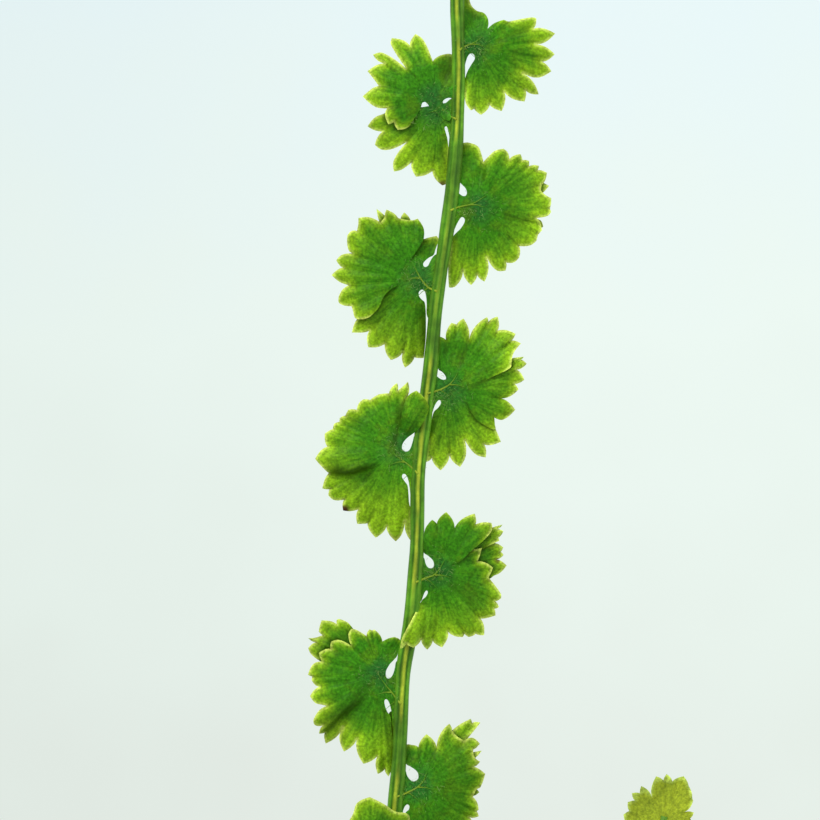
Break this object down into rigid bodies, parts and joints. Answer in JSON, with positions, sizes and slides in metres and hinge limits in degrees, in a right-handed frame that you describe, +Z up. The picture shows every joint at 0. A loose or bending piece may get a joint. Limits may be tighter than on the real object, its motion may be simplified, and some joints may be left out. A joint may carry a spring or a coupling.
{
  "type": "potted tatting fern",
  "caption": "Fern in a plain clay pot, with narrow fronds of small round toothed leaflets set left and right along thin stalks.",
  "frame": {"origin": "middle of the pot's flat underside", "axes": "+Z up; -Y is the side that the tallest frond shows its upper face to; +X to the right as seen from there"},
  "size_m": [0.3734, 0.3884, 0.4456],
  "materials": {
    "pot": "matt fired clay",
    "soil": "damp, crumbly",
    "crown": "scaly, matt",
    "frond": "satin leaf"
  },
  "bodies": {
    "root": {"pot": "pot", "soil": "soil", "crown": "crown", "frond_01": "frond", "frond_02": "frond", "frond_03": "frond", "frond_04": "frond", "frond_05": "frond", "frond_06": "frond", "frond_07": "frond", "frond_08": "frond", "frond_09": "frond"}
  },
  "joints": []
}
